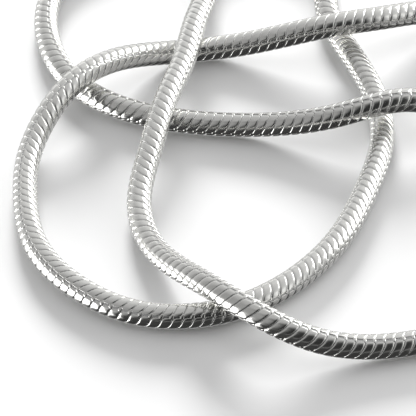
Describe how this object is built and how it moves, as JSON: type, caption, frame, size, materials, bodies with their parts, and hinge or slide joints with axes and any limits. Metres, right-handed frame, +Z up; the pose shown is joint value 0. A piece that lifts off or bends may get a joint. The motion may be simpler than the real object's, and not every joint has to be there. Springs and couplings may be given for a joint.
{
  "type": "snake chain necklace",
  "caption": "Round silver snake chain for the neck, closed by a plain barrel clasp and lying loosely on a surface in a loop that crosses itself.",
  "frame": {"origin": "on the surface that the chain lies on, under the middle of the chain as seen from above", "axes": "+Z up from the surface, +Y away from the picture's camera, +X to its right"},
  "size_m": [0.0583, 0.0719, 0.0055],
  "materials": {
    "chain_silver": "polished silver, darkened between the links",
    "clasp_silver": "polished silver"
  },
  "bodies": {
    "root": {"snake_chain": "chain_silver", "barrel_clasp": "clasp_silver"}
  },
  "joints": []
}
